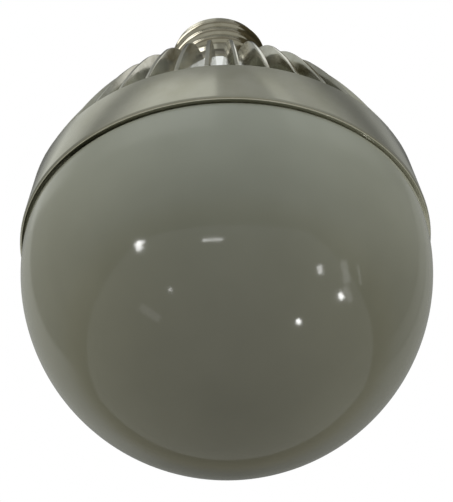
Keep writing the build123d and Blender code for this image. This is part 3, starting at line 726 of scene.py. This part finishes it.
def makeFloor():
    bm = bmesh.new()
    bmesh.ops.create_grid(bm, x_segments=2, y_segments=2, size=floorSheet["size"] / 2)
    bmesh.ops.translate(bm, verts=bm.verts, vec=(0, 0, floorSheet["height"]))
    made = makeFinish("mattPaper")
    path = addNode(made["tree"], "ShaderNodeLightPath")
    shade = addNode(made["tree"], "ShaderNodeMix", {"data_type": "RGBA"}, {7: linear(floorSheet["bounce"])},
                    {0: path.outputs["Is Diffuse Ray"], 6: made["tone"].outputs[2]})
    made["tree"].links.new(shade.outputs[2], made["shader"].inputs["Base Color"])
    floor = makeObject("floor", bm, [made["material"]])


# an area lamp that the camera doesn't see, sizes in metres
def addLamp(name, shape, width, height, energy):
    data = bpy.data.lights.new(name, "AREA")
    data.shape = shape
    data.size, data.size_y = width, height
    data.energy = energy
    holder = bpy.data.objects.new(name, data)
    scene.collection.objects.link(holder)
    holder.visible_camera = False
    return holder


# turns a lamp from its place towards a point
def aimLamp(holder, place, target):
    holder.location = place
    holder.rotation_euler = (target - holder.location).to_track_quat("-Z", "Y").to_euler()


# lets only one piece receive a lamp
def keepFor(holder, piece):
    receivers = bpy.data.collections.new(holder.name + "Receivers")
    receivers.objects.link(piece)
    holder.light_linking.receiver_collection = receivers


# soft lamps that give the shading: place, diameter, power and colour
lamps = {
    "topFront": {"at": (0.05, -0.74, 0.66), "size": 0.8, "energy": 11.0, "colour": "#e6efff"},
    "leftSide": {"at": (-0.95, -0.1, 0.0), "size": 0.7, "energy": 4.0, "colour": "#fffaf0"},
    "rightSide": {"at": (0.95, -0.1, 0.0), "size": 0.7, "energy": 3.2, "colour": "#fffaf0"},
}


def makeLamps():
    for name, lamp in lamps.items():
        holder = addLamp(name, "DISK", lamp["size"], lamp["size"], lamp["energy"])
        holder.data.color = linear(lamp["colour"])[:3]
        aimLamp(holder, lamp["at"], Vector((0, 0, globeZ * mm)))
        holder.visible_glossy = False


# close to the lamp's top end, where neither band nor globe mirrors it: a dark card that only the
# cap and the fins mirror, in millimetres, its size given as height and width
capCard = {"at": (32.0, 8.0, 22.0), "size": (112.0, 84.0)}


def makeCapCard():
    height, width = capCard["size"]
    bm = bmesh.new()
    bmesh.ops.create_grid(bm, x_segments=2, y_segments=2, size=0.5)
    bmesh.ops.scale(bm, verts=bm.verts, vec=(height * mm, width * mm, 1))
    bmesh.ops.rotate(bm, verts=bm.verts, cent=(0, 0, 0), matrix=Matrix.Rotation(math.radians(-90), 3, "Y"))
    bmesh.ops.translate(bm, verts=bm.verts, vec=Vector(capCard["at"]) * mm)
    card = makeObject("capCard", bm, [makeFinish("woolFelt")["material"]])
    card.visible_camera = False
    card.visible_diffuse = False
    card.visible_shadow = False


# small windows and lamps of the room, by where the globe mirrors them in the picture: pixel, size in
# pixels, turn and brightness; their lamps stand glintDistance out, in metres
glintDistance = 0.5
glints = {
    "windowCorner": {"pixel": (138.6, 246.5), "size": (7.5, 9.0), "turn": 20.0, "level": 16.0},
    "windowTop": {"pixel": (140.5, 242.6), "size": (9.5, 3.0), "turn": -5.0, "level": 14.0},
    "ceilingTube": {"pixel": (212.5, 239.6), "size": (23.0, 2.6), "turn": 1.0, "level": 8.0},
    "smallBulb": {"pixel": (170.1, 289.7), "size": (3.6, 3.6), "turn": 0.0, "level": 8.0},
    "rightBulb": {"pixel": (319.8, 269.7), "size": (6.5, 9.0), "turn": 15.0, "level": 7.0},
    "rightLamp": {"pixel": (341.0, 296.3), "size": (4.8, 7.5), "turn": 28.0, "level": 24.0},
    "lowLamp": {"pixel": (298.8, 321.8), "size": (4.6, 6.0), "turn": 28.0, "level": 24.0},
    "paneLeft": {"pixel": (345.5, 272.0), "size": (9.0, 22.0), "turn": 14.0, "level": 1.1},
    "paneRight": {"pixel": (359.5, 275.0), "size": (2.6, 18.0), "turn": 12.0, "level": 0.9},
    "paneLow": {"pixel": (348.0, 294.0), "size": (6.5, 18.0), "turn": 18.0, "level": 1.0},
    "farPane": {"pixel": (150.0, 313.0), "size": (26.0, 9.0), "turn": -20.0, "level": 0.5},
}


# each stands where the globe turns the camera's ray to it, and only the globe receives it
def makeGlints(cover):
    right, up, ahead = cameraAxes()
    eye, globe = cameraPlace(), Vector((0, 0, globeZ * mm))
    focal = camera["lens"] / camera["sensor"] * camera["imageHeight"]  # the long side spans the sensor
    for name, glint in glints.items():
        x = (glint["pixel"][0] - camera["imageWidth"] / 2) / focal
        y = (camera["imageHeight"] / 2 - glint["pixel"][1]) / focal
        ray = (ahead + right * x + up * y).normalized()
        toGlobe = globe - eye
        along = toGlobe.dot(ray)
        depth = math.sqrt((globeRadius * mm) ** 2 - (toGlobe.length_squared - along ** 2))
        point = eye + ray * (along - depth)
        normal = (point - globe).normalized()
        mirrored = ray - normal * (2 * ray.dot(normal))
        pixelSize = (along - depth) / focal
        width, height = (2 * glintDistance * side * pixelSize / (globeRadius * mm) for side in glint["size"])
        holder = addLamp(name, "RECTANGLE", width, height, glint["level"] * math.pi * width * height)
        side = (right - mirrored * right.dot(mirrored)).normalized()
        side = Matrix.Rotation(math.radians(glint["turn"]), 3, mirrored) @ side
        turn = Matrix((side, mirrored.cross(side), mirrored)).transposed()
        holder.matrix_world = Matrix.Translation(point + mirrored * glintDistance) @ turn.to_4x4()
        keepFor(holder, cover)


# soft lamps near the cap's end, one for the screw shell and one for the fins' flanks, in millimetres
nearLamps = {
    "capLamp": {"at": (-47.0, -26.0, 14.0), "aim": (0.0, 0.0, -14.0), "size": (50.0, 52.0), "level": 2.8},
    "finLamp": {"at": (24.0, -20.0, 22.0), "aim": (-15.0, -28.0, -50.0), "size": (26.0, 26.0), "level": 0.9},
}


def makeNearLamp(name, piece):
    lamp = nearLamps[name]
    width, height = (side * mm for side in lamp["size"])
    holder = addLamp(name, "RECTANGLE", width, height, lamp["level"] * math.pi * width * height)
    aimLamp(holder, Vector(lamp["at"]) * mm, Vector(lamp["aim"]) * mm)
    keepFor(holder, piece)


placeCamera()
print("camera placed")
makeWorld()
makeFloor()
makeLamps()
makeCapCard()
print("studio set")
makeGlints(makeGlobeCover(makeFinish("opalPolycarbonatePaintedShade")["material"]))
makeNearLamp("finLamp", makeHeatSink(makeTurnedAluminium(), makeFinish("polishedAluminium")["material"]))
makeNearLamp("capLamp", makeScrewShell(makeNickelPlate()))
makeInsulator(makeFinish("blackVitrite")["material"])
makeContact(makeTinnedBrass())
makeCollar(makeFinish("mouldedPbt")["material"])
print("lamp made and lit")
dressInnerNodes()

scene.view_settings.view_transform = "Standard"
